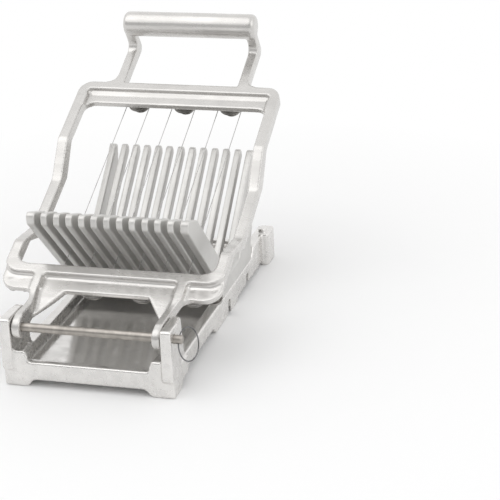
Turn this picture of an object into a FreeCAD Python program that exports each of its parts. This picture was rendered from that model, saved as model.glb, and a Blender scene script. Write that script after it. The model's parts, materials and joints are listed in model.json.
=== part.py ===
import FreeCAD, Part
import math
import os

from FreeCAD import Vector

# Wire cheese cutter: a cast tray base carries a V-shaped cradle of fins, and a cast arm strung
# with one cutting wire swings down about a pull pin, so that each wire drops into a slot.
# Millimetres. The parts are drawn about the pin axis: X to the right along the pin, Y to the
# back, Z up. The arm is drawn lying level, as when shut, and then raised to its rest angle.

# Pitches
fin_pitch = 9.525
fin_count = 13
wire_step = 2
wire_count = 6
wire_diameter = 0.6

# Pin, and the holes that it runs in
pin_diameter = 6.35
pin_running_gap = 0.05
pin_left = 64.5
pin_right = 69.0
pin_chamfer = 0.8
pull_hole_diameter = 2.6
pull_hole_inset = 3.0
pull_hole_tilt = 50.0

# Pull ring
ring_mean_diameter = 23.6
ring_wire_diameter = 0.9
ring_lean = 20.0

# Base tray
ground_drop = 43.0
tray_half_width = 61.0
tray_wall = 8.0
tray_front = -7.0
tray_back = 258.0
tray_corner = 6.0
rim_drop = 24.0
floor_drop = 33.0
floor_thickness = 3.3
front_wall = 7.0
front_arch_half = 41.5
front_arch_drop = 37.6
back_wall_drop = 29.0
side_arch_height = 6.0
rear_arch_height = 3.5
front_foot_end = 12.0
middle_foot_start = 98.0
middle_foot_end = 163.0
foot_half_outer = 59.0
foot_half_inner = 46.0

# Ears that hold the pin
ear_gap = 0.5
ear_thickness = 8.0
ear_front = -9.0
ear_pad_bottom = -29.0
ear_top = 8.7
ear_top_back = 21.5
ear_top_radius = 6.0
ear_tail_thickness = 5.5
ear_tail_start = 6.0
ear_foot_y = 27.0
shelf_drop = 15.6
shelf_inner = 46.5
shelf_back = 9.0

# Rear blocks with the nubs that stop the arm
block_outer = 66.0
block_inner = 54.0
block_front = 238.0
block_back = 260.0
block_top = -16.0
block_shoulder = 206.5
nub_size = 6.0
nub_length = 9.0
stop_gap = 0.4

# Fin cradle
fin_thickness = 4.9
slot_bottom = -17.2
trough_bottom = -11.0
front_lower_line = 107.2
front_inner_line = 131.0
front_tip_y = 49.5
front_tip_z = 67.0
front_tip_back_z = 60.0
back_inner_low_y = 172.3
back_tip_y = 224.4
back_tip_z = 61.0
back_tip_width = 4.4
back_outer_low_z = -8.0
back_outer_mid_y = 225.0
back_outer_mid_z = 27.0
web_back = 205.0
cradle_screw_diameter = 5.0
cradle_head_diameter = 8.5
cradle_head_height = 4.0
cradle_screw_length = 14.0
cradle_screw_rows = (140.0, 192.0)

# Arm casting
rest_angle = 26.0
arm_half_width = 83.5
rail_width = 8.2
arm_top = -2.5
arm_thickness = 9.0
front_bar_near = 41.0
front_bar_width = 21.0
back_bar_near = 238.0
back_bar_width = 20.5
arm_corner = 12.0
window_corner = 9.0
dip_depth = 16.0
dip_front_start = 83.0
dip_front_end = 112.0
dip_back_start = 162.0
dip_back_end = 191.0
dip_blend = 8.0
bar_rib = 5.0
bar_pocket_width = 7.0
bar_pocket_depth = 3.5
bar_pocket_corner = 3.0

# Arm legs and eyes
eye_diameter = 16.0
leg_thickness = 6.0
leg_outer = 54.5
leg_straight_end = 29.0
leg_bar_outer = 57.0
leg_flare_outer = 64.0
gusset_thickness = 5.0
gusset_inner = 31.0
gusset_tip = 15.0

# Handle
grip_diameter = 20.0
grip_half_length = 55.0
grip_reach = 306.0
grip_rise = 18.0
grip_end_radius = 4.0
post_thickness = 8.0
post_depth = 9.0
elbow_reach = 310.5
elbow_radius = 6.0

# Wire posts: grooved rollers on screws under the two bars
roller_diameter = 19.8
roller_thickness = 5.0
roller_bore_gap = 0.1
groove_gap = 0.03
screw_diameter = 5.0
screw_depth = 4.0
collar_diameter = 10.4
collar_height = 3.2
cap_diameter = 12.0
cap_height = 2.6
tie_post_diameter = 6.4
tie_head_diameter = 9.2
tie_gap = 0.6

# Sizes worked out from the ones above
pin_radius = pin_diameter / 2
pin_hole_radius = pin_radius + pin_running_gap
ear_inner = leg_outer + ear_gap
ear_outer = ear_inner + ear_thickness
eye_radius = eye_diameter / 2
rim_z = -rim_drop
floor_z = -floor_drop
ground_z = -ground_drop
tray_inner = tray_half_width - tray_wall
arm_bottom = arm_top - arm_thickness
front_bar_far = front_bar_near + front_bar_width
back_bar_far = back_bar_near + back_bar_width
front_bar_middle = front_bar_near + front_bar_width / 2
back_bar_middle = back_bar_near + back_bar_width / 2
window_half = arm_half_width - rail_width
wire_radius = wire_diameter / 2
wire_pitch = wire_step * fin_pitch
turn_radius = wire_pitch / 2
wire_height = arm_bottom - roller_thickness / 2
slot_width = fin_pitch - fin_thickness
grip_radius = grip_diameter / 2


def rounded(corners, place):
    """Closed outline through corners (a, b) or (a, b, radius), laid in a plane by place(a, b)."""
    count = len(corners)
    starts = []
    ends = []
    middles = []
    for index in range(count):
        corner = Vector(corners[index][0], corners[index][1], 0)
        before = Vector(corners[index - 1][0], corners[index - 1][1], 0)
        after = Vector(corners[(index + 1) % count][0], corners[(index + 1) % count][1], 0)
        radius = corners[index][2] if len(corners[index]) > 2 else 0
        if radius == 0:
            starts.append(corner)
            ends.append(corner)
            middles.append(None)
            continue
        to_before = (before - corner).normalize()
        to_after = (after - corner).normalize()
        half = to_before.getAngle(to_after) / 2
        run = radius / math.tan(half)
        middle_way = (to_before + to_after).normalize()
        starts.append(corner + to_before * run)
        ends.append(corner + to_after * run)
        middles.append(corner + middle_way * (radius / math.sin(half) - radius))
    edges = []
    for index in range(count):
        if middles[index] is not None:
            arc = Part.Arc(place(starts[index]), place(middles[index]), place(ends[index]))
            edges.append(arc.toShape())
        line_start = ends[index]
        line_end = starts[(index + 1) % count]
        if (line_end - line_start).Length > 1e-6:
            edges.append(Part.makeLine(place(line_start), place(line_end)))
    return Part.Face(Part.Wire(edges))


def side_prism(corners, x_low, x_high):
    """Solid with an outline in Y and Z, from x_low to x_high."""
    face = rounded(corners, lambda point: Vector(x_low, point.x, point.y))
    return face.extrude(Vector(x_high - x_low, 0, 0))


def plan_prism(corners, z_low, z_high):
    """Solid with an outline in X and Y, from z_low to z_high."""
    face = rounded(corners, lambda point: Vector(point.x, point.y, z_low))
    return face.extrude(Vector(0, 0, z_high - z_low))


def front_prism(corners, y_low, y_high):
    """Solid with an outline in X and Z, from y_low to y_high."""
    face = rounded(corners, lambda point: Vector(point.x, y_low, point.y))
    return face.extrude(Vector(0, y_high - y_low, 0))


def plan_box(x_low, x_high, y_low, y_high, z_low, z_high, radius=0):
    """Upright block whose four upright edges have one radius."""
    corners = [(x_low, y_low, radius), (x_high, y_low, radius),
               (x_high, y_high, radius), (x_low, y_high, radius)]
    return plan_prism(corners, z_low, z_high)


def turned(profile, x, y):
    """Solid of revolution about the upright line at x and y, from (radius, z) corners."""
    points = [Vector(radius, 0, z) for radius, z in profile]
    points.append(points[0])
    solid = Part.Face(Part.makePolygon(points)).revolve(Vector(0, 0, 0), Vector(0, 0, 1), 360)
    solid.translate(Vector(x, y, 0))
    return solid


def mirrored(shape):
    """The shape's twin on the other side of the middle plane."""
    return shape.mirror(Vector(0, 0, 0), Vector(1, 0, 0))


def both_sides(shape):
    return [shape, mirrored(shape)]


def joined(shapes):
    """One solid from touching shapes, with the seams between flat faces taken out."""
    return shapes[0].fuse(shapes[1:]).removeSplitter()


def save(name, shape):
    """Move the shape from the pin axis to the part's own origin and write it."""
    moved = shape.copy()
    moved.translate(Vector(0, -middle_y, ground_drop))
    moved.exportStep("parts/" + name + ".step")
    print(name, "solids", len(moved.Solids), "volume", round(moved.Volume, 1))


def raised(shape):
    """The shape, drawn level, turned up with the arm to its rest angle."""
    lifted = shape.copy()
    lifted.rotate(Vector(0, 0, 0), Vector(1, 0, 0), rest_angle)
    return lifted


# Base

def side_wall():
    """One side of the tray with its feet, arches and rear shoulder."""
    arch_z = ground_z + side_arch_height
    rear_arch_z = ground_z + rear_arch_height
    shoulder_z = block_top
    corners = [
        (tray_front, ground_z, 1),
        (front_foot_end - 2, ground_z, 1.5),
        (front_foot_end + 3, arch_z, 4),
        (middle_foot_start, arch_z, 4),
        (middle_foot_start + 5, ground_z, 1.5),
        (middle_foot_end - 3, ground_z, 1.5),
        (middle_foot_end + 3, rear_arch_z, 4),
        (block_front - 2, rear_arch_z, 3),
        (block_front + 3, ground_z, 1),
        (tray_back, ground_z, 1),
        (tray_back, shoulder_z, 2),
        (block_shoulder + 6, shoulder_z, 5),
        (block_shoulder, rim_z, 3),
        (tray_front, rim_z),
    ]
    return side_prism(corners, tray_inner, tray_half_width)


def ear():
    """Ear at the front corner: a block with a level top and a thinner, rounded tail."""
    corners = [
        (tray_front, ground_z, 1),
        (front_foot_end - 2, ground_z, 1.5),
        (front_foot_end + 3, ground_z + side_arch_height, 4),
        (ear_foot_y, ground_z + side_arch_height),
        (ear_foot_y, rim_z, 2),
        (ear_top_back, ear_top, ear_top_radius),
        (ear_front, ear_top, 2),
        (ear_front, ear_pad_bottom, 1),
        (tray_front, ear_pad_bottom - 2, 1),
    ]
    block = side_prism(corners, ear_inner, ear_outer)
    tail_outer = ear_inner + ear_tail_thickness
    trim = plan_prism([
        (ear_outer, ear_tail_start, 4),
        (tail_outer, ear_foot_y),
        (tail_outer, ear_foot_y + 5),
        (ear_outer + 5, ear_foot_y + 5),
        (ear_outer + 5, ear_tail_start),
    ], rim_z, ear_top + 1)
    return block.cut(trim)


def front_shelf():
    """Block inside the ear, under the arm's eye, with a rounded inner edge."""
    corners = [
        (shelf_inner, floor_z),
        (ear_outer, floor_z),
        (ear_outer, -shelf_drop),
        (shelf_inner, -shelf_drop, 2),
    ]
    return front_prism(corners, tray_front, shelf_back)


def front_wall_solid():
    """Front wall between the feet, arched underneath, dipping between the shelves."""
    arch_z = -front_arch_drop
    corners = [
        (-foot_half_outer, ground_z, 2),
        (-foot_half_inner, ground_z, 2),
        (-front_arch_half, arch_z, 4),
        (front_arch_half, arch_z, 4),
        (foot_half_inner, ground_z, 2),
        (foot_half_outer, ground_z, 2),
        (ear_outer, arch_z, 3),
        (ear_outer, rim_z),
        (-ear_outer, rim_z),
        (-ear_outer, arch_z, 3),
    ]
    wall = front_prism(corners, tray_front, tray_front + front_wall)
    lip = [
        (-shelf_inner - 0.5, -shelf_drop),
        (-shelf_inner - 0.5, rim_z - 3),
        (-shelf_inner + 6, rim_z, 5),
        (-shelf_inner + 1, rim_z + 4, 4),
    ]
    blend = front_prism(lip, tray_front, tray_front + front_wall)
    return joined([wall] + both_sides(blend))


def rear_block():
    """Rear corner block that ends in a foot, with the nub that the arm's bar stops on."""
    block = plan_box(block_inner, block_outer, block_front, block_back, ground_z, block_top, 3)
    nub_middle = (block_inner + block_outer) / 2
    nub = plan_box(nub_middle - nub_size / 2, nub_middle + nub_size / 2,
                   block_front + 2, block_front + 2 + nub_length,
                   block_top - 1, arm_bottom - stop_gap, 1.5)
    return joined([block, nub])


def base_casting():
    floor = plan_box(-tray_half_width + 1, tray_half_width - 1, tray_front + 1, tray_back - 1,
                     floor_z - floor_thickness, floor_z, tray_corner)
    rear_wall = plan_box(-block_inner - 1, block_inner + 1, tray_back - 6, tray_back,
                         floor_z - floor_thickness, -back_wall_drop)
    parts = [floor, rear_wall, front_wall_solid()]
    for piece in (side_wall(), ear(), front_shelf(), rear_block()):
        parts += both_sides(piece)
    casting = joined(parts)
    cutters = [Part.makeCylinder(pin_hole_radius, 2 * ear_outer + 4,
                                 Vector(-ear_outer - 2, 0, 0), Vector(1, 0, 0))]
    for x, y in cradle_screw_spots():
        cutters.append(Part.makeCylinder(cradle_screw_diameter / 2 + roller_bore_gap,
                                         ground_drop, Vector(x, y, ground_z - 1)))
        cutters.append(Part.makeCylinder(cradle_head_diameter / 2 + 0.3,
                                         cradle_head_top() - ground_z + 1,
                                         Vector(x, y, ground_z - 1)))
    return casting.cut(cutters)


# Cradle

def fin_outline():
    """Side view of a fin: front limb at 45 degrees, level trough, and tapering back limb."""
    web_bottom = rim_z
    web_front = front_lower_line - slot_bottom
    return [
        (front_tip_y, front_tip_z, 3.5),
        (front_tip_y, front_lower_line - front_tip_y, 4),
        (web_front, slot_bottom, 2),
        (web_front, web_bottom),
        (web_back, web_bottom),
        (web_back, slot_bottom),
        (web_back, back_outer_low_z - 1, 3),
        (back_outer_mid_y, back_outer_mid_z, 40),
        (back_tip_y + back_tip_width, back_tip_z - 2, 1.5),
        (back_tip_y + back_tip_width / 2, back_tip_z, 1),
        (back_tip_y, back_tip_z - 2, 1),
        (back_inner_low_y, trough_bottom, 6),
        (front_inner_line - trough_bottom, trough_bottom, 6),
        (front_inner_line - front_tip_back_z, front_tip_back_z, 5),
    ]


def fin_x(index):
    """Middle of a fin, counted from the left."""
    return (index - (fin_count - 1) / 2) * fin_pitch


def slot_x(index):
    """Middle of the slot to the right of a fin."""
    return fin_x(index) + fin_pitch / 2


def fin_cradle():
    rack = side_prism(fin_outline(), -tray_half_width, tray_half_width)
    cutters = []
    for index in range(fin_count - 1):
        middle = slot_x(index)
        low = slot_bottom + slot_width / 2
        slot = plan_box(middle - slot_width / 2, middle + slot_width / 2,
                        0, back_tip_y + 40, low, front_tip_z + 10)
        root = Part.makeCylinder(slot_width / 2, back_tip_y + 40,
                                 Vector(middle, 0, low), Vector(0, 1, 0))
        cutters += [slot, root]
    for x, y in cradle_screw_spots():
        cutters.append(Part.makeCylinder(cradle_screw_diameter / 2 + roller_bore_gap,
                                         cradle_screw_top() + 0.5 - rim_z + 1,
                                         Vector(x, y, rim_z - 1)))
    return rack.cut(cutters)


def cradle_screw_spots():
    x = tray_half_width - tray_wall / 2
    return [(side * x, y) for side in (-1, 1) for y in cradle_screw_rows]


def cradle_head_top():
    """Height of the seat of a cradle screw's head, in the underside of the side wall."""
    return cradle_screw_top() - cradle_screw_length


def cradle_screw_top():
    return slot_bottom - 1.0


def cradle_screws():
    solids = []
    for x, y in cradle_screw_spots():
        seat = cradle_head_top()
        shank = Part.makeCylinder(cradle_screw_diameter / 2, cradle_screw_length + 0.5,
                                  Vector(x, y, seat - 0.5))
        head = Part.makeCylinder(cradle_head_diameter / 2, cradle_head_height,
                                 Vector(x, y, seat - cradle_head_height))
        solids.append(joined([shank, head]))
    return Part.makeCompound(solids)


# Arm, drawn level

def frame_ring():
    """Rectangular frame whose side rails dip to clear the hands and the block."""
    ring = plan_box(-arm_half_width, arm_half_width, front_bar_near, back_bar_far,
                    -60, 10, arm_corner)
    window = plan_box(-window_half, window_half, front_bar_far, back_bar_near,
                      -61, 11, window_corner)
    dip_top = arm_top - dip_depth
    dip_bottom = arm_bottom - dip_depth
    corners = [
        (front_bar_near, arm_top, 1),
        (dip_front_start, arm_top, dip_blend),
        (dip_front_end, dip_top, dip_blend),
        (dip_back_start, dip_top, dip_blend),
        (dip_back_end, arm_top, dip_blend),
        (back_bar_far, arm_top, 1),
        (back_bar_far, arm_bottom, 1),
        (dip_back_end + 6, arm_bottom, dip_blend),
        (dip_back_start + 10, dip_bottom, dip_blend),
        (dip_front_end - 2, dip_bottom, dip_blend),
        (dip_front_start + 7, arm_bottom, dip_blend),
        (front_bar_near, arm_bottom, 1),
    ]
    section = side_prism(corners, -arm_half_width - 1, arm_half_width + 1)
    return ring.cut(window).common(section)


def bar_pockets():
    """Long recesses along the upper faces of the two bars, behind a near rib."""
    floor = arm_top - bar_pocket_depth
    spans = [
        (-window_half, window_half, back_bar_near),
        (-leg_outer + leg_thickness + 1, leg_outer - leg_thickness - 1, front_bar_near),
        (leg_bar_outer + 1, arm_half_width - bar_rib, front_bar_near),
        (-arm_half_width + bar_rib, -leg_bar_outer - 1, front_bar_near),
    ]
    return [plan_box(x_low, x_high, near + bar_rib, near + bar_rib + bar_pocket_width,
                     floor, 1, bar_pocket_corner) for x_low, x_high, near in spans]


def leg():
    """Leg from the front bar down to the eye, with the gusset on its inner side."""
    leg_inner = leg_outer - leg_thickness
    bar_inner = leg_bar_outer - leg_thickness
    root = front_bar_near + 4
    plan = [
        (leg_inner, -eye_radius - 1),
        (leg_outer, -eye_radius - 1),
        (leg_outer, leg_straight_end, 15),
        (leg_bar_outer, front_bar_near - 3, 5),
        (leg_flare_outer, front_bar_near + 1),
        (leg_flare_outer, root),
        (bar_inner, root),
        (bar_inner, front_bar_near - 5, 8),
        (leg_inner, leg_straight_end - 8, 15),
    ]
    blank = plan_prism(plan, arm_bottom - 5, eye_radius + 5)
    side = [
        (-eye_radius, eye_radius, eye_radius - 0.01),
        (0, eye_radius, 0),
        (6, eye_radius - 0.5, 4),
        (front_bar_near - 14, arm_top, 30),
        (root, arm_top),
        (root, arm_bottom),
        (front_bar_near - 10, arm_bottom, 30),
        (6, -eye_radius, 4),
        (-eye_radius, -eye_radius, eye_radius - 0.01),
    ]
    strip = blank.common(side_prism(side, leg_inner - 5, leg_flare_outer + 5))
    gusset = plan_prism([
        (leg_inner + 0.5, gusset_tip),
        (bar_inner + 0.5, front_bar_near + 1),
        (gusset_inner, front_bar_near + 1),
    ], arm_bottom, arm_bottom + gusset_thickness)
    gusset = gusset.common(side_prism(side, gusset_inner - 5, leg_flare_outer + 5))
    return joined([strip, gusset])


def handle_post():
    """Post from the back bar, bent up at an elbow to the grip."""
    inner_bend = elbow_reach - post_depth
    corners = [
        (back_bar_far - 3, arm_top),
        (inner_bend, arm_top, elbow_radius),
        (grip_reach - 0.75 * grip_radius, grip_rise - 1),
        (grip_reach - 0.5, grip_rise - 1),
        (elbow_reach, arm_bottom, elbow_radius),
        (back_bar_far - 3, arm_bottom),
    ]
    return side_prism(corners, grip_half_length - post_thickness, grip_half_length)


def grip():
    """Round bar between the posts, with rounded ends."""
    bar = Part.makeCylinder(grip_radius, 2 * grip_half_length,
                            Vector(-grip_half_length, grip_reach, grip_rise), Vector(1, 0, 0))
    rims = [edge for edge in bar.Edges if edge.Closed]
    return bar.makeFillet(grip_end_radius, rims)


def post_fillet():
    """Small gusset where a post leaves the back bar."""
    outer = grip_half_length
    return plan_prism([
        (outer - 1, back_bar_far - 2),
        (outer + 7, back_bar_far - 2),
        (outer + 7, back_bar_far),
        (outer + 2, back_bar_far + 2, 5),
        (outer, back_bar_far + 8, 0),
        (outer - 1, back_bar_far + 8, 0),
    ], arm_bottom, arm_top)


def arm_frame():
    parts = [frame_ring(), grip()]
    for piece in (leg(), handle_post(), post_fillet()):
        parts += both_sides(piece)
    casting = joined(parts)
    cutters = bar_pockets()
    cutters.append(Part.makeCylinder(pin_hole_radius, 2 * leg_outer + 4,
                                     Vector(-leg_outer - 2, 0, 0), Vector(1, 0, 0)))
    for x, y in roller_spots("front") + roller_spots("back") + tie_spots():
        cutters.append(Part.makeCylinder(screw_diameter / 2 + roller_bore_gap, screw_depth + 1.5,
                                         Vector(x, y, arm_bottom - 1)))
    return casting.cut(cutters)


# Wire and what it runs round, drawn level

def wire_x(index):
    """Cutting wires, each over the middle of a slot, set half a wire pitch off the middle."""
    first_slot = (fin_count - 1) // 2 - wire_count + 1
    return slot_x(first_slot + wire_step * index)


def roller_spots(bar):
    """Centres of the rollers under one bar: turns at the back, turns and two ends in front."""
    if bar == "back":
        return [(wire_x(pair) + turn_radius, back_bar_middle)
                for pair in range(0, wire_count, 2)]
    first = wire_x(0) - turn_radius
    return [(first + 2 * wire_pitch * place, front_bar_middle)
            for place in range(wire_count // 2 + 1)]


def tie_spots():
    """Centres of the tie screws, two past the left end roller and one past the right one."""
    front = roller_spots("front")
    beside = (roller_diameter + tie_head_diameter) / 2 + tie_gap
    left = front[0][0] - beside
    right = front[-1][0] + beside
    places = (left, left - tie_head_diameter - tie_gap, right)
    return [(x, front_bar_middle) for x in places]


def roller(x, y):
    """Grooved roller; the wire lies on the floor of its groove."""
    outer = roller_diameter / 2
    top = arm_bottom - 0.05
    bottom = arm_bottom - roller_thickness
    bore = screw_diameter / 2 + roller_bore_gap
    groove_floor = turn_radius - wire_radius - groove_gap
    return turned([(bore, bottom), (outer - 0.6, bottom), (outer, bottom + 0.6),
                   (outer, wire_height - 0.85), (groove_floor, wire_height - 0.2),
                   (groove_floor, wire_height + 0.2), (outer, wire_height + 0.85),
                   (outer, top - 0.6), (outer - 0.6, top), (bore, top)], x, y)


def wire_screw(x, y):
    """Shouldered screw under a roller: grooved collar and domed cap."""
    seat = arm_bottom - roller_thickness - 0.05
    collar = seat - collar_height
    cap = collar - cap_height
    shank = screw_diameter / 2
    ring = collar_diameter / 2
    dome = cap_diameter / 2
    return turned([(0, arm_bottom + screw_depth), (shank - 0.4, arm_bottom + screw_depth),
                   (shank, arm_bottom + screw_depth - 0.4), (shank, seat),
                   (ring, seat), (ring, seat - 0.9), (ring - 0.8, seat - 1.3),
                   (ring, seat - 1.7), (ring, collar),
                   (dome, collar - 0.2), (dome, collar - 0.9),
                   (dome - 1.2, cap + 0.6), (dome - 3, cap + 0.1), (0, cap)], x, y)


def tie_screw(x, y):
    """Screw that the wire's end is wound round, with a narrow neck and a domed head."""
    shank = screw_diameter / 2
    neck = tie_post_diameter / 2
    head = tie_head_diameter / 2
    neck_end = arm_bottom - roller_thickness
    head_end = neck_end - 3.6
    return turned([(0, arm_bottom + screw_depth), (shank - 0.4, arm_bottom + screw_depth),
                   (shank, arm_bottom + screw_depth - 0.4), (shank, arm_bottom),
                   (head, arm_bottom), (head, arm_bottom - 1), (neck, arm_bottom - 1.2),
                   (neck, neck_end), (head, neck_end), (head, neck_end - 2),
                   (head - 1.5, head_end + 0.3), (0, head_end)], x, y)


def cutting_wire():
    """One wire: down and up round the rollers, each end wound round a tie screw."""
    lap = tie_post_diameter / 2 + wire_radius + 0.03

    def spot(x, y):
        return Vector(x, y, wire_height)

    def arc(centre_x, centre_y, radius, start, stop):
        angles = (start, (start + stop) / 2, stop)
        points = [spot(centre_x + radius * math.cos(math.radians(angle)),
                       centre_y + radius * math.sin(math.radians(angle))) for angle in angles]
        return Part.Arc(points[0], points[1], points[2]).toShape()

    front = roller_spots("front")
    back = roller_spots("back")
    left_tie, _, right_tie = tie_spots()
    edges = []

    # The left end laps its tie screw and reaches the end roller on the near side
    reach = front[0][0] - left_tie[0]
    slant = math.degrees(math.asin((turn_radius - lap) / reach))
    leave = 270 - slant
    edges.append(arc(left_tie[0], left_tie[1], lap, leave - 240, leave - 120))
    edges.append(arc(left_tie[0], left_tie[1], lap, leave - 120, leave))
    edges.append(arc(front[0][0], front[0][1], turn_radius, leave, 360))

    # Runs up to the back bar and down again
    for index in range(wire_count):
        x = wire_x(index)
        if index % 2 == 0:
            turn = back[index // 2]
            edges.append(arc(turn[0], turn[1], turn_radius, 180, 0))
        elif index < wire_count - 1:
            turn = front[(index + 1) // 2]
            edges.append(arc(turn[0], turn[1], turn_radius, 180, 360))
        edges.append(Part.makeLine(spot(x, front_bar_middle), spot(x, back_bar_middle)))

    # The right end leaves its end roller on the near side and laps its tie screw
    reach = right_tie[0] - front[-1][0]
    slant = math.degrees(math.asin((turn_radius - lap) / reach))
    enter = 270 + slant
    edges.append(arc(front[-1][0], front[-1][1], turn_radius, 180, enter))
    edges.append(arc(right_tie[0], right_tie[1], lap, enter, enter + 120))
    edges.append(arc(right_tie[0], right_tie[1], lap, enter + 120, enter + 240))

    # The two slanted stretches between the end rollers and the tie screws
    for roller_spot, tie, angle in ((front[0], left_tie, leave), (front[-1], right_tie, enter)):
        way = (math.cos(math.radians(angle)), math.sin(math.radians(angle)))
        on_roller = spot(roller_spot[0] + turn_radius * way[0],
                         roller_spot[1] + turn_radius * way[1])
        on_tie = spot(tie[0] + lap * way[0], tie[1] + lap * way[1])
        edges.append(Part.makeLine(on_roller, on_tie))

    path = Part.Wire(Part.__sortEdges__(edges))
    first = path.OrderedEdges[0]
    begin = path.OrderedVertexes[0].Point
    parameter = first.getParameterByLength(0)
    if (first.valueAt(parameter) - begin).Length > 1e-3:
        parameter = first.LastParameter
    section = Part.Wire(Part.makeCircle(wire_radius, begin, first.tangentAt(parameter)))
    return Part.Wire(path.OrderedEdges).makePipeShell([section], True, False)


# Pin and ring

def pull_hole():
    """Middle and direction of the cross hole at the pin's right end."""
    tilt = math.radians(pull_hole_tilt)
    return Vector(pin_right - pull_hole_inset, 0, 0), Vector(0, math.cos(tilt), math.sin(tilt))


def pivot_pin():
    length = pin_left + pin_right
    profile = [
        Vector(-pin_left, 0, 0),
        Vector(-pin_left, pin_radius - pin_chamfer, 0),
        Vector(-pin_left + pin_chamfer, pin_radius, 0),
        Vector(pin_right - pin_chamfer, pin_radius, 0),
        Vector(pin_right, pin_radius - pin_chamfer, 0),
        Vector(-pin_left + length, 0, 0),
        Vector(-pin_left, 0, 0),
    ]
    pin = Part.Face(Part.makePolygon(profile)).revolve(Vector(0, 0, 0), Vector(1, 0, 0), 360)
    middle, way = pull_hole()
    hole = Part.makeCylinder(pull_hole_diameter / 2, 4 * pin_diameter,
                             middle - way * 2 * pin_diameter, way)
    return pin.cut(hole)


def pull_ring():
    """Ring through the pin's cross hole, leaning out from the ear."""
    middle, way = pull_hole()
    lean = math.radians(ring_lean)
    outward = Vector(0, way.z, -way.y) * math.cos(lean) + Vector(1, 0, 0) * math.sin(lean)
    centre = middle + outward * (ring_mean_diameter / 2)
    normal = outward.cross(way)
    return Part.makeTorus(ring_mean_diameter / 2, ring_wire_diameter / 2, centre, normal)


os.makedirs("parts", exist_ok=True)

# The part's origin is under the middle of its reach from front to back, on the ground
arm = raised(arm_frame())
middle_y = (ear_front + arm.BoundBox.YMax) / 2
print("middle of the reach", round(middle_y, 4))

save("base_casting", base_casting())
save("fin_cradle", fin_cradle())
save("cradle_screws", cradle_screws())
save("arm_frame", arm)
save("cutting_wire", raised(cutting_wire()))
for bar in ("back", "front"):
    for number, (x, y) in enumerate(roller_spots(bar), start=1):
        save(bar + "_roller_" + str(number), raised(roller(x, y)))
        save(bar + "_screw_" + str(number), raised(wire_screw(x, y)))
ties = [tie_screw(x, y) for x, y in tie_spots()]
save("left_tie_screws", raised(Part.makeCompound(ties[:2])))
save("right_tie_screw", raised(Part.makeCompound(ties[2:])))
save("pivot_pin", pivot_pin())
save("pull_ring", pull_ring())
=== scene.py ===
import json
import math

import bmesh
import bpy
from mathutils import Matrix, Vector


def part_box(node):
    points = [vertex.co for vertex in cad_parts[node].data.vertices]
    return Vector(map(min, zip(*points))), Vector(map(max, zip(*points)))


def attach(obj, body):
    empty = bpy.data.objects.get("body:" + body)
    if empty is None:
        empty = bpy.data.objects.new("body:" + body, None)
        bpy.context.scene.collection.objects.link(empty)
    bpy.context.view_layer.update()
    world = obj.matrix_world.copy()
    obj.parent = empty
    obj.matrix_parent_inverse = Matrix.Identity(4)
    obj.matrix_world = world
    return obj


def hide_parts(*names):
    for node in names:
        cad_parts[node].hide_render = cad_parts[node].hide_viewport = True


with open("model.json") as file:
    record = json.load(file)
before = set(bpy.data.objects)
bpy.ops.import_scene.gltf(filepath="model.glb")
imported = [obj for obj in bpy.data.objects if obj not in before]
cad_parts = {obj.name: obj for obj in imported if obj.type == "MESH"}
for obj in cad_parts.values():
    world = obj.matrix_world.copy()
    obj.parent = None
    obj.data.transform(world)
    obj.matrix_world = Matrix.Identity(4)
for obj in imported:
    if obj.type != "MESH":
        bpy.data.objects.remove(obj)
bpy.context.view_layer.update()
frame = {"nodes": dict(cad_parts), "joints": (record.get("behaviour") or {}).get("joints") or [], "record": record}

MM = 0.001
NODES = frame["nodes"]
SCENE = bpy.context.scene

# Camera: where the photograph was taken from, about the middle of the pivot pin.
# Angles are in degrees, and lengths in the picture in pixels

PHOTO_WIDTH = 500
FOCAL_PIXELS = 1594.4
PHOTO_CENTRE = (249.4, 251.1)
CAMERA_AZIMUTH = 16.17
CAMERA_ELEVATION = 21.95
CAMERA_ROLL = 2.49
CAMERA_FROM_PIN = Vector((389.5, -933.3, 460.2)) * MM
SENSOR_MM = 36.0
CLIP_START = 0.05
CLIP_END = 100

# Lights, floor and world, in metres and watts

LAMPS = {
    "key": {"size": (1.6, 1.6), "power": 6.5, "place": (-0.6, -0.5, 1.4)},
    "fill": {"size": (1.4, 1.0), "power": 3, "place": (1.3, -0.2, 0.9)},
}
LAMP_AIM = Vector((0, 0, 0.05))
WORLD_LIGHT = 0.85
FLOOR_HALF = 20
FLOOR_COLOR = (0.92, 0.92, 0.92, 1)
FLOOR_ROUGHNESS = 0.9

# The floor fades to plain white between these distances from the object's middle
FLOOR_NEAR = 0.22
FLOOR_FAR = 0.5

# Metal reflects a grey room. It fades in as a direction turns to the front and sinks from the top
ROOM_GREY = 0.5
ROOM_TO_FRONT = (-0.2, -0.75)
ROOM_FROM_TOP = (0.85, 0.55)

# Noises of the materials: features per metre, and how many finer layers they have

BLOTCHES = (45, 4)
FINE_GRAIN = (900, 2)
MARKS = (160, 5)
SLOW_WAVES = (70, 2)
STEEL_LINES = (600, 3)
STEEL_STAINS = (180, 4)

# Spans of a noise, of the sharpness of edges or of the upward slant, in which an effect grows

NOISE_SPAN = (0.3, 0.7)
MARK_SPAN = (0.42, 0.62)
STAIN_SPAN = (0.35, 0.65)
RUBBED_SPAN = (0.52, 0.58)
CORNER_SPAN = (0.42, 0.49)
LEVEL_SPAN = (0.9, 0.99)

# Tones, as shares of a material's own colour, and how far marks and corners take theirs on; corners go darker, and
# on the arm lighter, which is a painted highlight

DARKER = 0.86
LIGHTER = 1.07
STAINED = 0.72
MARK_SHARE = 0.6
CORNER_SHARE = 0.6

# Relief of the marks against the grain's, and what is taken off and put on the roughness

MARK_RELIEF = 2
EDGE_GLOSS = 0.1
CAST_UNEVEN = (0.07, 0.09)
STEEL_UNEVEN = (0.06, 0.1)

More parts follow.
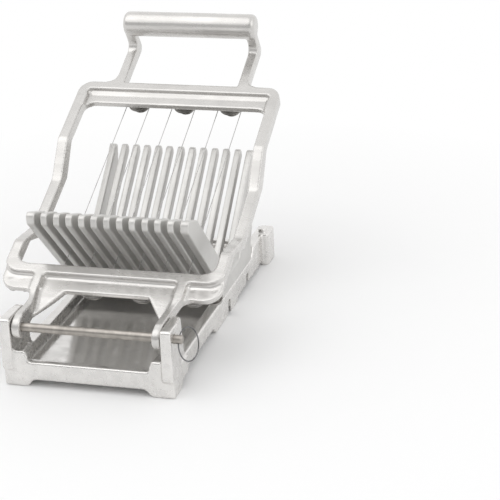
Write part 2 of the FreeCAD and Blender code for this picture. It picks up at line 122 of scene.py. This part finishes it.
CASTINGS = {
    "tumbled_base": {"color": (0.82, 0.805, 0.785), "roughness": 0.25, "grain": 0.012,
                     "wave": 0.03, "metallic": 0.85, "level_gloss": 0.11},
    "brushed_cradle": {"color": (0.68, 0.67, 0.65), "roughness": 0.38, "grain": 0.012,
                       "wave": 0.04, "metallic": 0.6, "brush": (1, 0.1, 0.1)},
    # The arm's corners are lighter than its colour, a painted highlight of its polished fillets
    "polished_arm": {"color": (0.70, 0.685, 0.665), "roughness": 0.25, "grain": 0.006,
                     "wave": 0.06, "metallic": 0.72, "brush": (0.2, 1, 1), "corner_tone": 1.15},
}
STEELS = {
    "wire_steel": {"name": "bright_wire", "color": (0.60, 0.59, 0.58), "roughness": 0.28,
                   "scratch": 0.0, "stretch": (1, 1, 1)},
    # The rollers' colour is dark as painted shade, for the shadow under the front bar
    "roller_steel": {"name": "turned_rollers_painted_shade", "color": (0.28, 0.27, 0.255), "roughness": 0.32,
                     "scratch": 0.03, "stretch": (0.2, 0.2, 2)},
    "screw_steel": {"name": "turned_screws", "color": (0.46, 0.445, 0.425), "roughness": 0.28,
                    "scratch": 0.02, "stretch": (0.3, 0.3, 1)},
    "pin_steel": {"name": "browned_pin", "color": (0.46, 0.43, 0.395), "roughness": 0.34,
                  "scratch": 0.03, "stretch": (0.05, 1, 1)},
    "ring_steel": {"name": "spring_ring", "color": (0.20, 0.20, 0.205), "roughness": 0.30,
                   "scratch": 0.01, "stretch": (1, 1, 1)},
}

# Castings, in millimetres about the pin: x across, y to the back, z up. On the arm, reach is
# along its plane from the pin towards the grip, and height is above that plane

REST_ANGLE = math.radians(26)
WELD_DISTANCE = 1e-6
SMOOTHING = 0.5

# How far an added block runs into the solid that it joins
OVERLAP = 1.0

# Shelf in front of the rim on the arm's two bars, and the outline of the cut above it
SHELF_HEIGHT = -7.0
SHELF_CUT_TOP = 12.0
SHELF_FILLET = 2.6
FILLET_SEGMENTS = 4
RIM_NEAR = 53.5
MIDDLE_HALF = 50.5
MIDDLE_NEAR = 37.0
LEGS_HALF = 48.2
LEGS_FAR = 22.0
LEGS_NEAR = 6.0
SIDE_INNER = 57.6
SIDE_OUTER = 95.0
SIDE_NEAR = 30.0
BEND_X = 70.5
BEND_RADIUS = 14.0
BACK_RIM_NEAR = 249.0
BACK_SHELF_HALF = 74.5
BACK_SHELF_NEAR = 228.0

# Plugs in the arm's screw holes
FRONT_SCREW_REACH = 51.5
BACK_SCREW_REACH = 248.25
TIE_HEAD_RADIUS = 4.6
PLUG_RADIUS = 2.75
PLUG_SIDES = 24
PLUG_LOW = -11.3
PLUG_BELOW_SHELF = 0.2

# Side view of the cradle's back limbs, and how far beyond their tips the solid's own are cleared
FIN_PITCH = 9.525
FIN_COUNT = 13
FIN_THICKNESS = 4.9
SLOT_BOTTOM = -17.2
TROUGH_BOTTOM = -11.0
TROUGH_FRONT = 142.0
TROUGH_BACK = 172.3
BACK_TIP_Y = 224.4
BACK_TIP_Z = 61.0
BACK_TIP_WIDTH = 4.4
TIP_CHAMFER_Y = 2.0
TIP_CHAMFER_Z = 3.0
BACK_LIMB_DEPTH = 12.5
CLEARED_BEHIND = 30.0
CLEARED_ABOVE = 10.0
BACK_SLOPE = (BACK_TIP_Z - TROUGH_BOTTOM) / (BACK_TIP_Y - TROUGH_FRONT)


# Places

def pin_centre():
    """Middle of the hinge that the arm turns about."""
    hinge = next(joint for joint in frame["joints"] if joint["name"] == "arm_hinge")
    return Vector(hinge["pos_m"])


def arm_place(x, reach, height):
    """Point of the raised arm, from its place across, along and above the arm's plane."""
    along = Vector((0, math.cos(REST_ANGLE), math.sin(REST_ANGLE)))
    above = Vector((0, -math.sin(REST_ANGLE), math.cos(REST_ANGLE)))
    return pin_centre() + (Vector((x, 0, 0)) + along * reach + above * height) * MM


# Camera, lights, floor and world

def make_camera():
    azimuth = math.radians(CAMERA_AZIMUTH)
    elevation = math.radians(CAMERA_ELEVATION)
    roll = math.radians(CAMERA_ROLL)
    back = Vector((math.sin(azimuth) * math.cos(elevation),
                   -math.cos(azimuth) * math.cos(elevation),
                   math.sin(elevation)))
    level_right = Vector((math.cos(azimuth), math.sin(azimuth), 0))
    level_up = back.cross(level_right)
    right = level_right * math.cos(roll) - level_up * math.sin(roll)
    up = level_right * math.sin(roll) + level_up * math.cos(roll)
    data = bpy.data.cameras.new("camera")
    data.sensor_width = SENSOR_MM
    data.lens = FOCAL_PIXELS / PHOTO_WIDTH * SENSOR_MM
    data.shift_x = (PHOTO_WIDTH / 2 - PHOTO_CENTRE[0]) / PHOTO_WIDTH
    data.shift_y = (PHOTO_CENTRE[1] - PHOTO_WIDTH / 2) / PHOTO_WIDTH
    data.clip_start = CLIP_START
    data.clip_end = CLIP_END
    camera = bpy.data.objects.new("camera", data)
    place = Matrix((right, up, back)).transposed().to_4x4()
    place.translation = pin_centre() + CAMERA_FROM_PIN
    camera.matrix_world = place
    SCENE.collection.objects.link(camera)
    SCENE.camera = camera


def area_light(name, size, power, place):
    """Rectangular lamp at a place, turned to the object."""
    data = bpy.data.lights.new(name, "AREA")
    data.shape = "RECTANGLE"
    data.size = size[0]
    data.size_y = size[1]
    data.energy = power
    light = bpy.data.objects.new(name, data)
    light.location = place
    direction = LAMP_AIM - Vector(place)
    light.rotation_euler = direction.to_track_quat("-Z", "Y").to_euler()
    SCENE.collection.objects.link(light)


def math_node(tree, operation, first, second):
    """Result of an operation on two values, each a number or another node's output."""
    node = tree.nodes.new("ShaderNodeMath")
    node.operation = operation
    for socket, value in zip(node.inputs, (first, second)):
        if isinstance(value, (int, float)):
            socket.default_value = value
        else:
            tree.links.new(value, socket)
    return node.outputs[0]


def range_node(tree, value, span, low=0.0, high=1.0):
    """The value moved from a span to the range from low to high, and held inside it."""
    node = tree.nodes.new("ShaderNodeMapRange")
    node.inputs["From Min"].default_value = span[0]
    node.inputs["From Max"].default_value = span[1]
    node.inputs["To Min"].default_value = low
    node.inputs["To Max"].default_value = high
    tree.links.new(value, node.inputs["Value"])
    return node.outputs["Result"]


def seen_directly(tree):
    """1 for what the camera, metal and glass see."""
    path = tree.nodes.new("ShaderNodeLightPath")
    metal = math_node(tree, "MAXIMUM", path.outputs["Is Camera Ray"], path.outputs["Is Glossy Ray"])
    return math_node(tree, "MAXIMUM", metal, path.outputs["Is Transmission Ray"])


def make_floor():
    """Pale floor that keeps the shadow near the object and fades to plain white further out."""
    mesh = bpy.data.meshes.new("floor")
    builder = bmesh.new()
    bmesh.ops.create_grid(builder, x_segments=1, y_segments=1, size=FLOOR_HALF)
    builder.to_mesh(mesh)
    builder.free()
    floor = new_piece("floor", mesh)
    material = bpy.data.materials.new("floor")
    material.use_nodes = True
    tree = material.node_tree
    shader = tree.nodes["Principled BSDF"]
    shader.inputs["Base Color"].default_value = FLOOR_COLOR
    shader.inputs["Roughness"].default_value = FLOOR_ROUGHNESS
    place = tree.nodes.new("ShaderNodeTexCoord")
    distance = tree.nodes.new("ShaderNodeVectorMath")
    distance.operation = "LENGTH"
    tree.links.new(place.outputs["Object"], distance.inputs[0])
    far = range_node(tree, distance.outputs["Value"], (FLOOR_NEAR, FLOOR_FAR))
    white = tree.nodes.new("ShaderNodeEmission")
    white.inputs["Strength"].default_value = 1
    mix = tree.nodes.new("ShaderNodeMixShader")
    tree.links.new(math_node(tree, "MULTIPLY", far, seen_directly(tree)), mix.inputs["Fac"])
    tree.links.new(shader.outputs[0], mix.inputs[1])
    tree.links.new(white.outputs[0], mix.inputs[2])
    tree.links.new(mix.outputs[0], tree.nodes["Material Output"].inputs["Surface"])
    floor.data.materials.append(material)


def make_world():
    """White backdrop where it is seen, with a grey room in front that only metal reflects."""
    world = bpy.data.worlds.new("studio")
    SCENE.world = world
    world.use_nodes = True
    tree = world.node_tree
    plain = tree.nodes["Background"]
    plain.inputs["Strength"].default_value = WORLD_LIGHT
    plain.inputs["Color"].default_value = (1, 1, 1, 1)
    seen = tree.nodes.new("ShaderNodeBackground")
    direction = tree.nodes.new("ShaderNodeTexCoord")
    parts = tree.nodes.new("ShaderNodeSeparateXYZ")
    tree.links.new(direction.outputs["Generated"], parts.inputs[0])
    forward = range_node(tree, parts.outputs["Y"], ROOM_TO_FRONT)
    low = range_node(tree, parts.outputs["Z"], ROOM_FROM_TOP)
    path = tree.nodes.new("ShaderNodeLightPath")
    room = math_node(tree, "MULTIPLY", math_node(tree, "MULTIPLY", forward, low),
                     path.outputs["Is Glossy Ray"])
    tree.links.new(range_node(tree, room, (0, 1), 1, ROOM_GREY), seen.inputs["Strength"])
    seen.inputs["Color"].default_value = (1, 1, 1, 1)
    mix = tree.nodes.new("ShaderNodeMixShader")
    tree.links.new(seen_directly(tree), mix.inputs["Fac"])
    tree.links.new(plain.outputs[0], mix.inputs[1])
    tree.links.new(seen.outputs[0], mix.inputs[2])
    tree.links.new(mix.outputs[0], tree.nodes["World Output"].inputs["Surface"])


# Materials

class Nodes:
    """Small helper that adds and links the nodes of one material."""

    def __init__(self, name):
        self.material = bpy.data.materials.new(name)
        self.material.use_nodes = True
        self.tree = self.material.node_tree
        self.shader = self.tree.nodes["Principled BSDF"]
        coordinates = self.tree.nodes.new("ShaderNodeTexCoord")
        self.place = coordinates.outputs["Object"]

    def link(self, source, target):
        self.tree.links.new(source, target)

    def noise(self, scale, detail, stretch=None):
        """Noise with features of about 1 / scale metres; a stretch below 1 draws them out."""
        texture = self.tree.nodes.new("ShaderNodeTexNoise")
        texture.inputs["Scale"].default_value = scale
        texture.inputs["Detail"].default_value = detail
        if stretch is None:
            self.link(self.place, texture.inputs["Vector"])
        else:
            mapping = self.tree.nodes.new("ShaderNodeMapping")
            mapping.inputs["Scale"].default_value = stretch
            self.link(self.place, mapping.inputs["Vector"])
            self.link(mapping.outputs["Vector"], texture.inputs["Vector"])
        return texture.outputs["Fac"]

    def spread(self, value, span, low=0.0, high=1.0):
        return range_node(self.tree, value, span, low, high)

    def combine(self, operation, first, second):
        return math_node(self.tree, operation, first, second)

    def mix(self, factor, first, second):
        """Colour between two, each a colour or another node's output."""
        node = self.tree.nodes.new("ShaderNodeMix")
        node.data_type = "RGBA"
        self.link(factor, node.inputs["Factor"])
        colours = [socket for socket in node.inputs if socket.type == "RGBA"]
        for socket, value in zip(colours, (first, second)):
            if isinstance(value, tuple):
                socket.default_value = (*value, 1)
            else:
                self.link(value, socket)
        return next(output for output in node.outputs if output.type == "RGBA")

    def bump(self, height):
        """Relief in millimetres."""
        node = self.tree.nodes.new("ShaderNodeBump")
        node.inputs["Strength"].default_value = 1
        node.inputs["Distance"].default_value = MM
        self.link(height, node.inputs["Height"])
        self.link(node.outputs["Normal"], self.shader.inputs["Normal"])

    def upward(self):
        """1 on level faces that look up, 0 on upright ones."""
        parts = self.tree.nodes.new("ShaderNodeSeparateXYZ")
        self.link(self.tree.nodes.new("ShaderNodeNewGeometry").outputs["Normal"], parts.inputs[0])
        return parts.outputs["Z"]

    def edges(self):
        """Above 0.5 on convex edges and below it in corners."""
        return self.tree.nodes.new("ShaderNodeNewGeometry").outputs["Pointiness"]


def toned(color, share):
    """The colour times a share, held at white."""
    return tuple(min(1, part * share) for part in color)


def cast_aluminium(name, color, roughness, grain, wave, metallic, brush=(1, 1, 1),
                   corner_tone=0.7, level_gloss=0.0):
    """Tumbled casting: fine grain, slow unevenness, rubbed edges, and corners darker by default; a corner tone
    above 1 paints a highlight into them instead.

    Its matt skin scatters a share of the light, so it isn't wholly metallic. The marks are drawn
    out along the axes where brush is below 1, and level_gloss polishes faces that look up.
    """
    nodes = Nodes(name)
    nodes.shader.inputs["Metallic"].default_value = metallic
    blotches = nodes.noise(*BLOTCHES)
    fine = nodes.noise(*FINE_GRAIN)
    marks = nodes.noise(*MARKS, brush)
    sharpness = nodes.edges()
    rubbed = nodes.spread(sharpness, RUBBED_SPAN)
    corner = nodes.spread(sharpness, CORNER_SPAN, 1, 0)

    tone = nodes.mix(nodes.spread(blotches, NOISE_SPAN), toned(color, DARKER), color)
    tone = nodes.mix(nodes.spread(marks, MARK_SPAN, 0, MARK_SHARE), tone, toned(color, DARKER))
    tone = nodes.mix(rubbed, tone, toned(color, LIGHTER))
    # Corner tone: darker by default; above 1, as on the arm, it is a painted highlight
    in_corner = nodes.combine("MULTIPLY", corner, CORNER_SHARE)
    tone = nodes.mix(in_corner, tone, toned(color, corner_tone))
    nodes.link(tone, nodes.shader.inputs["Base Color"])

    below, above = CAST_UNEVEN
    uneven = nodes.spread(marks, NOISE_SPAN, roughness - below, roughness + above)
    polished = nodes.combine("MULTIPLY", nodes.combine("MAXIMUM", rubbed, corner), -EDGE_GLOSS)
    level = nodes.spread(nodes.upward(), LEVEL_SPAN, 0, -level_gloss)
    gloss = nodes.combine("ADD", polished, level)
    nodes.link(nodes.combine("ADD", uneven, gloss), nodes.shader.inputs["Roughness"])

    slow = nodes.combine("MULTIPLY", nodes.noise(*SLOW_WAVES), wave)
    quick = nodes.combine("MULTIPLY", fine, grain)
    drawn = nodes.combine("MULTIPLY", marks, grain * MARK_RELIEF)
    nodes.bump(nodes.combine("ADD", nodes.combine("ADD", slow, quick), drawn))
    return nodes.material


def turned_steel(name, color, roughness, scratch, stretch):
    """Turned or drawn steel: fine lines one way, faint stains, a little unevenness in the gloss."""
    nodes = Nodes(name)
    nodes.shader.inputs["Metallic"].default_value = 1
    lines = nodes.noise(*STEEL_LINES, stretch)
    stains = nodes.noise(*STEEL_STAINS)
    tone = nodes.mix(nodes.spread(stains, STAIN_SPAN), toned(color, STAINED), color)
    nodes.link(tone, nodes.shader.inputs["Base Color"])
    below, above = STEEL_UNEVEN
    nodes.link(nodes.spread(lines, NOISE_SPAN, roughness - below, roughness + above),
               nodes.shader.inputs["Roughness"])
    nodes.bump(nodes.combine("MULTIPLY", lines, scratch))
    return nodes.material


# Meshes

def new_piece(name, mesh):
    piece = bpy.data.objects.new(name, mesh)
    SCENE.collection.objects.link(piece)
    return piece


def applied(piece):
    """Bakes the piece's modifiers into its mesh."""
    graph = bpy.context.evaluated_depsgraph_get()
    mesh = bpy.data.meshes.new_from_object(piece.evaluated_get(graph))
    piece.modifiers.clear()
    piece.data = mesh
    return piece


def block(outlines):
    """Mesh of a closed block between two outlines whose points match."""
    builder = bmesh.new()
    ends = []
    for outline in outlines:
        ends.append([builder.verts.new(point) for point in outline])
        builder.faces.new(ends[-1])
    first, second = ends
    count = len(first)
    for index in range(count):
        after = (index + 1) % count
        builder.faces.new((first[index], first[after], second[after], second[index]))
    bmesh.ops.recalc_face_normals(builder, faces=builder.faces)
    mesh = bpy.data.meshes.new("block")
    builder.to_mesh(mesh)
    builder.free()
    return mesh


def arm_block(outline, low, high):
    """Block over an outline (x, reach) of the arm, between two heights above its plane."""
    return block([[arm_place(x, reach, height) for x, reach in outline]
                  for height in (low, high)])


def side_block(outline, left, right):
    """Block over an outline (y, z) seen from the side, between two places across."""
    origin = pin_centre()
    return block([[origin + Vector((x, y, z)) * MM for y, z in outline]
                  for x in (left, right)])


def corner_arc(centre, radius, start, stop, steps=6):
    """Points of an arc in the arm's plane, angles in degrees from +X towards the grip."""
    points = []
    for step in range(steps + 1):
        angle = math.radians(start + (stop - start) * step / steps)
        points.append((centre[0] + radius * math.cos(angle), centre[1] + radius * math.sin(angle)))
    return points


# The arm's shelves and screw holes

def shelf_cutters():
    """Blocks that lower the near part of both bars, so that a rim stands behind a shelf."""
    middle = [(-MIDDLE_HALF, RIM_NEAR), (MIDDLE_HALF, RIM_NEAR), (MIDDLE_HALF, MIDDLE_NEAR),
              (LEGS_HALF, LEGS_FAR), (LEGS_HALF, LEGS_NEAR), (-LEGS_HALF, LEGS_NEAR),
              (-LEGS_HALF, LEGS_FAR), (-MIDDLE_HALF, MIDDLE_NEAR)]
    bend = (BEND_X, RIM_NEAR + BEND_RADIUS)
    right = [(SIDE_INNER, SIDE_NEAR), (SIDE_OUTER, SIDE_NEAR), (SIDE_OUTER, bend[1])]
    right += corner_arc(bend, BEND_RADIUS, 0, -90)
    right += [(SIDE_INNER, RIM_NEAR)]
    left = [(-x, reach) for x, reach in right]
    back = [(-BACK_SHELF_HALF, BACK_RIM_NEAR), (BACK_SHELF_HALF, BACK_RIM_NEAR),
            (BACK_SHELF_HALF, BACK_SHELF_NEAR), (-BACK_SHELF_HALF, BACK_SHELF_NEAR)]
    cutters = []
    for outline in (middle, right, left, back):
        cutter = new_piece("cutter", arm_block(outline, SHELF_HEIGHT, SHELF_CUT_TOP))
        bevel = cutter.modifiers.new("fillet", "BEVEL")
        bevel.width = SHELF_FILLET * MM
        bevel.segments = FILLET_SEGMENTS
        bevel.limit_method = "ANGLE"
        cutters.append(applied(cutter))
    return cutters


def screw_spots():
    """Places (x, reach) of the screws under the two bars, read from their nodes."""
    spots = []
    for start, reach in (("front_screw_", FRONT_SCREW_REACH), ("back_screw_", BACK_SCREW_REACH),
                         ("right_tie_screw", FRONT_SCREW_REACH)):
        for node in sorted(name for name in NODES if name.startswith(start)):
            lowest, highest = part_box(node)
            spots.append(((lowest.x + highest.x) / 2 / MM, reach))
    lowest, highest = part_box("left_tie_screws")
    spots.append((lowest.x / MM + TIE_HEAD_RADIUS, FRONT_SCREW_REACH))
    spots.append((highest.x / MM - TIE_HEAD_RADIUS, FRONT_SCREW_REACH))
    return spots


def screw_plugs():
    """Short rods that fill the arm's screw holes, where the screws hide them from below."""
    last_angle = 360 - 360 / PLUG_SIDES
    return [arm_block(corner_arc(spot, PLUG_RADIUS, 0, last_angle, PLUG_SIDES - 1),
                      PLUG_LOW, SHELF_HEIGHT - PLUG_BELOW_SHELF)
            for spot in screw_spots()]


# The cradle's back limbs

def limb_cutters():
    """Block that takes the inner fins' back limbs off above the web, between the end plates."""
    front = TROUGH_FRONT + BACK_LIMB_DEPTH / 2
    behind = BACK_TIP_Y + CLEARED_BEHIND
    top = BACK_TIP_Z + CLEARED_ABOVE
    outline = [(front, SLOT_BOTTOM), (behind, SLOT_BOTTOM), (behind, top), (front, top)]
    inside = FIN_PITCH * (FIN_COUNT - 1) / 2 - FIN_THICKNESS / 2
    return [new_piece("cutter", side_block(outline, -inside, inside))]


def back_limbs():
    """Back limbs as the photograph shows them, with their faces rising straight from the V's root.

    The inner ones are slim bars, and the end plates get a wedge that fills up to the same face.
    """
    root = SLOT_BOTTOM - OVERLAP
    foot = TROUGH_FRONT + (root - TROUGH_BOTTOM) / BACK_SLOPE
    tip_back = BACK_TIP_Y + BACK_TIP_WIDTH
    shoulder = BACK_TIP_Z - (BACK_TIP_Y + BACK_LIMB_DEPTH - tip_back) * BACK_SLOPE
    bar = [(foot, root), (foot + BACK_LIMB_DEPTH, root), (tip_back, shoulder),
           (tip_back, BACK_TIP_Z - TIP_CHAMFER_Z), (tip_back - TIP_CHAMFER_Y, BACK_TIP_Z),
           (BACK_TIP_Y, BACK_TIP_Z)]
    wedge = [(TROUGH_FRONT, TROUGH_BOTTOM), (TROUGH_BACK + 2 * OVERLAP, TROUGH_BOTTOM - OVERLAP),
             (BACK_TIP_Y + OVERLAP, BACK_TIP_Z - 2 * OVERLAP), (BACK_TIP_Y, BACK_TIP_Z)]
    limbs = []
    for index in range(FIN_COUNT):
        middle = (index - (FIN_COUNT - 1) / 2) * FIN_PITCH
        outline = wedge if index in (0, FIN_COUNT - 1) else bar
        limbs.append(side_block(outline, middle - FIN_THICKNESS / 2, middle + FIN_THICKNESS / 2))
    return limbs


# Castings: copies of the solids with the edges rounded as they leave the tumbler

def welded_copy(node_name, piece_name):
    """New piece with a node's mesh, whose faces share their corners."""
    mesh = NODES[node_name].data.copy()
    builder = bmesh.new()
    builder.from_mesh(mesh)
    bmesh.ops.remove_doubles(builder, verts=builder.verts, dist=WELD_DISTANCE)
    builder.to_mesh(mesh)
    builder.free()
    return new_piece(piece_name, mesh)


def reshape(piece, cutters, additions):
    """Cuts a piece with other pieces, which are used up, and puts further meshes into it."""
    for cutter in cutters:
        cut = piece.modifiers.new("cut", "BOOLEAN")
        cut.operation = "DIFFERENCE"
        cut.solver = "EXACT"
        cut.object = cutter
    applied(piece)
    for cutter in cutters:
        bpy.data.objects.remove(cutter)
    builder = bmesh.new()
    builder.from_mesh(piece.data)
    for addition in additions:
        builder.from_mesh(addition)
    builder.to_mesh(piece.data)
    builder.free()


def soft_casting(node_name, piece_name, body, voxel, rounds, cutters=(), additions=()):
    """Copy of a cast node, reshaped, remeshed finely and smoothed; it replaces the node."""
    piece = welded_copy(node_name, piece_name)
    if cutters:
        reshape(piece, cutters, additions)
    remesh = piece.modifiers.new("remesh", "REMESH")
    remesh.mode = "VOXEL"
    remesh.voxel_size = voxel * MM
    smooth = piece.modifiers.new("smooth", "SMOOTH")
    smooth.factor = SMOOTHING
    smooth.iterations = rounds
    applied(piece)
    piece.data.materials.clear()
    piece.data.shade_smooth()
    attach(piece, body)
    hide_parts(node_name)
    return piece


# The scene

make_camera()
make_floor()
make_world()
for name, lamp in LAMPS.items():
    area_light(name, **lamp)
SCENE.view_settings.view_transform = "Standard"

base = soft_casting("base_casting", "base_tray", "base", voxel=0.9, rounds=7)
cradle = soft_casting("fin_cradle", "fin_rack", "base", voxel=0.7, rounds=5,
                      cutters=limb_cutters(), additions=back_limbs())
arm = soft_casting("arm_frame", "arm_casting", "arm", voxel=0.7, rounds=8,
                   cutters=shelf_cutters(), additions=screw_plugs())
for casting, name in ((base, "tumbled_base"), (cradle, "brushed_cradle"), (arm, "polished_arm")):
    casting.data.materials.append(cast_aluminium(name, **CASTINGS[name]))

steels = {slot: turned_steel(**look) for slot, look in STEELS.items()}
for subpart in frame["record"]["subparts"]:
    slot = subpart["material_slot"]
    if slot in steels:
        node = NODES[subpart["node"]]
        node.data.materials.clear()
        node.data.materials.append(steels[slot])
